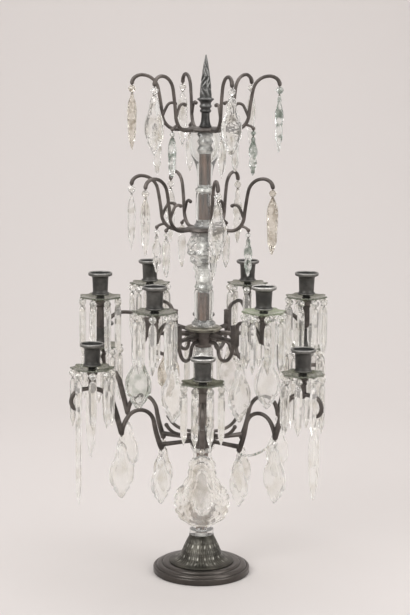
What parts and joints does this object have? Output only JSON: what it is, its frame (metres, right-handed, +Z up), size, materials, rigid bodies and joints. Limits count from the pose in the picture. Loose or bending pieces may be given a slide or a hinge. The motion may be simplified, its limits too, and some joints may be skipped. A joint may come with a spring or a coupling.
{
  "type": "girandole candle holder",
  "caption": "Tall table girandole: scrolled dark bronze candle arms in tiers round a glass stem, with drip pans, hanging crystal prisms, hooked crowns and a spike finial on a round foot.",
  "frame": {"origin": "on the table, under the middle of the round foot", "axes": "+Z up along the stem; -Y towards the front, where one lower arm points; +X to the right"},
  "size_m": [0.4433, 0.5024, 0.9],
  "materials": {
    "dark_bronze": "dark brown patina, satin",
    "chased_bronze": "dark patina, chased leaves",
    "worn_bronze": "dark patina with worn edges",
    "finial_bronze": "dark grey green patina",
    "cup_bronze": "charcoal patina with worn rims",
    "iron": "rusty",
    "stem_glass": "clear",
    "pan_glass": "dark olive, satin",
    "crystal": "clear, cut"
  },
  "bodies": {
    "stand": {"foot": "dark_bronze", "leaf_cone": "chased_bronze", "base_nut": "iron", "stem_rod": "iron", "lower_column": "stem_glass", "lower_hub": "dark_bronze", "middle_column": "stem_glass", "upper_hub_bowl": "dark_bronze", "upper_hub_cover": "worn_bronze", "upper_column": "stem_glass", "vase": "stem_glass", "lower_crown_plate": "dark_bronze", "neck_column": "stem_glass", "tulip": "stem_glass", "upper_crown_plate": "dark_bronze", "finial": "finial_bronze", "lower_arms": "dark_bronze", "upper_arms": "dark_bronze", "lower_crown_hooks": "dark_bronze", "upper_crown_hooks": "dark_bronze", "candle_cups": "cup_bronze", "arm_plaques": "crystal", "hook_drops": "crystal"},
    "upper_pan_1": {"upper_drip_pan_1": "pan_glass", "upper_prisms_1": "crystal"},
    "upper_pan_2": {"upper_drip_pan_2": "pan_glass", "upper_prisms_2": "crystal"},
    "upper_pan_3": {"upper_drip_pan_3": "pan_glass", "upper_prisms_3": "crystal"},
    "upper_pan_4": {"upper_drip_pan_4": "pan_glass", "upper_prisms_4": "crystal"},
    "upper_pan_5": {"upper_drip_pan_5": "pan_glass", "upper_prisms_5": "crystal"},
    "upper_pan_6": {"upper_drip_pan_6": "pan_glass", "upper_prisms_6": "crystal"},
    "lower_pan_1": {"lower_drip_pan_1": "pan_glass", "lower_prisms_1": "crystal"},
    "lower_pan_2": {"lower_drip_pan_2": "pan_glass", "lower_prisms_2": "crystal"},
    "lower_pan_3": {"lower_drip_pan_3": "pan_glass", "lower_prisms_3": "crystal"},
    "lower_pan_4": {"lower_drip_pan_4": "pan_glass", "lower_prisms_4": "crystal"},
    "lower_pan_5": {"lower_drip_pan_5": "pan_glass", "lower_prisms_5": "crystal"},
    "lower_pan_6": {"lower_drip_pan_6": "pan_glass", "lower_prisms_6": "crystal"},
    "upper_pendant_1": {"upper_pendant_1": "crystal"},
    "upper_pendant_2": {"upper_pendant_2": "crystal"},
    "upper_pendant_3": {"upper_pendant_3": "crystal"},
    "upper_pendant_4": {"upper_pendant_4": "crystal"},
    "upper_pendant_5": {"upper_pendant_5": "crystal"},
    "upper_pendant_6": {"upper_pendant_6": "crystal"},
    "lower_pendant_1": {"lower_pendant_1": "crystal"},
    "lower_pendant_2": {"lower_pendant_2": "crystal"},
    "lower_pendant_3": {"lower_pendant_3": "crystal"},
    "lower_pendant_4": {"lower_pendant_4": "crystal"},
    "lower_pendant_5": {"lower_pendant_5": "crystal"},
    "lower_pendant_6": {"lower_pendant_6": "crystal"}
  },
  "joints": [
    {"name": "upper_pan_1_turn", "type": "hinge", "parent": "stand", "child": "upper_pan_1", "pos_m": [0.09769, -0.1476, 0.48324], "axis": [0, 0, 1], "range_deg": [-3, 3]},
    {"name": "upper_pan_2_turn", "type": "hinge", "parent": "stand", "child": "upper_pan_2", "pos_m": [0.17667, 0.01081, 0.48324], "axis": [0, 0, 1], "range_deg": [-3, 3]},
    {"name": "upper_pan_3_turn", "type": "hinge", "parent": "stand", "child": "upper_pan_3", "pos_m": [0.07898, 0.1584, 0.48324], "axis": [0, 0, 1], "range_deg": [-3, 3]},
    {"name": "upper_pan_4_turn", "type": "hinge", "parent": "stand", "child": "upper_pan_4", "pos_m": [-0.09769, 0.1476, 0.48324], "axis": [0, 0, 1], "range_deg": [-3, 3]},
    {"name": "upper_pan_5_turn", "type": "hinge", "parent": "stand", "child": "upper_pan_5", "pos_m": [-0.17667, -0.01081, 0.48324], "axis": [0, 0, 1], "range_deg": [-3, 3]},
    {"name": "upper_pan_6_turn", "type": "hinge", "parent": "stand", "child": "upper_pan_6", "pos_m": [-0.07898, -0.1584, 0.48324], "axis": [0, 0, 1], "range_deg": [-3, 3]},
    {"name": "lower_pan_1_turn", "type": "hinge", "parent": "stand", "child": "lower_pan_1", "pos_m": [0, -0.209, 0.377], "axis": [0, 0, 1], "range_deg": [-3, 3]},
    {"name": "lower_pan_2_turn", "type": "hinge", "parent": "stand", "child": "lower_pan_2", "pos_m": [0.16469, -0.12867, 0.377], "axis": [0, 0, 1], "range_deg": [-3, 3]},
    {"name": "lower_pan_3_turn", "type": "hinge", "parent": "stand", "child": "lower_pan_3", "pos_m": [0.181, 0.1045, 0.377], "axis": [0, 0, 1], "range_deg": [-3, 3]},
    {"name": "lower_pan_4_turn", "type": "hinge", "parent": "stand", "child": "lower_pan_4", "pos_m": [0, 0.209, 0.377], "axis": [0, 0, 1], "range_deg": [-3, 3]},
    {"name": "lower_pan_5_turn", "type": "hinge", "parent": "stand", "child": "lower_pan_5", "pos_m": [-0.181, 0.1045, 0.377], "axis": [0, 0, 1], "range_deg": [-3, 3]},
    {"name": "lower_pan_6_turn", "type": "hinge", "parent": "stand", "child": "lower_pan_6", "pos_m": [-0.18454, -0.09812, 0.377], "axis": [0, 0, 1], "range_deg": [-3, 3]},
    {"name": "upper_pendant_1_swing", "type": "hinge", "parent": "stand", "child": "upper_pendant_1", "pos_m": [0.04241, -0.11652, 0.852], "axis": [-0.9397, -0.342, 0], "range_deg": [-15, 30]},
    {"name": "upper_pendant_2_swing", "type": "hinge", "parent": "stand", "child": "upper_pendant_2", "pos_m": [0.1237, -0.00865, 0.852], "axis": [-0.0698, -0.9976, 0], "range_deg": [-15, 30]},
    {"name": "upper_pendant_3_swing", "type": "hinge", "parent": "stand", "child": "upper_pendant_3", "pos_m": [0.07971, 0.09499, 0.852], "axis": [0.766, -0.6428, 0], "range_deg": [-15, 30]},
    {"name": "upper_pendant_4_swing", "type": "hinge", "parent": "stand", "child": "upper_pendant_4", "pos_m": [-0.04037, 0.11724, 0.852], "axis": [0.9455, 0.3256, 0], "range_deg": [-15, 30]},
    {"name": "upper_pendant_5_swing", "type": "hinge", "parent": "stand", "child": "upper_pendant_5", "pos_m": [-0.12392, 0.00433, 0.852], "axis": [0.0349, 0.9994, 0], "range_deg": [-15, 30]},
    {"name": "upper_pendant_6_swing", "type": "hinge", "parent": "stand", "child": "upper_pendant_6", "pos_m": [-0.08297, -0.09215, 0.852], "axis": [-0.7431, 0.6691, 0], "range_deg": [-15, 30]},
    {"name": "lower_pendant_1_swing", "type": "hinge", "parent": "stand", "child": "lower_pendant_1", "pos_m": [0.02153, -0.12212, 0.683], "axis": [-0.9848, -0.1736, 0], "range_deg": [-15, 30]},
    {"name": "lower_pendant_2_swing", "type": "hinge", "parent": "stand", "child": "lower_pendant_2", "pos_m": [0.11328, -0.05044, 0.683], "axis": [-0.4067, -0.9135, 0], "range_deg": [-15, 30]},
    {"name": "lower_pendant_3_swing", "type": "hinge", "parent": "stand", "child": "lower_pendant_3", "pos_m": [0.05821, 0.10949, 0.683], "axis": [0.8829, -0.4695, 0], "range_deg": [-15, 30]},
    {"name": "lower_pendant_4_swing", "type": "hinge", "parent": "stand", "child": "lower_pendant_4", "pos_m": [-0.06012, 0.10845, 0.683], "axis": [0.8746, 0.4848, 0], "range_deg": [-15, 30]},
    {"name": "lower_pendant_5_swing", "type": "hinge", "parent": "stand", "child": "lower_pendant_5", "pos_m": [-0.124, 0, 0.683], "axis": [0, 1, 0], "range_deg": [-15, 30]},
    {"name": "lower_pendant_6_swing", "type": "hinge", "parent": "stand", "child": "lower_pendant_6", "pos_m": [-0.09771, -0.07634, 0.683], "axis": [-0.6157, 0.788, 0], "range_deg": [-15, 30]}
  ]
}
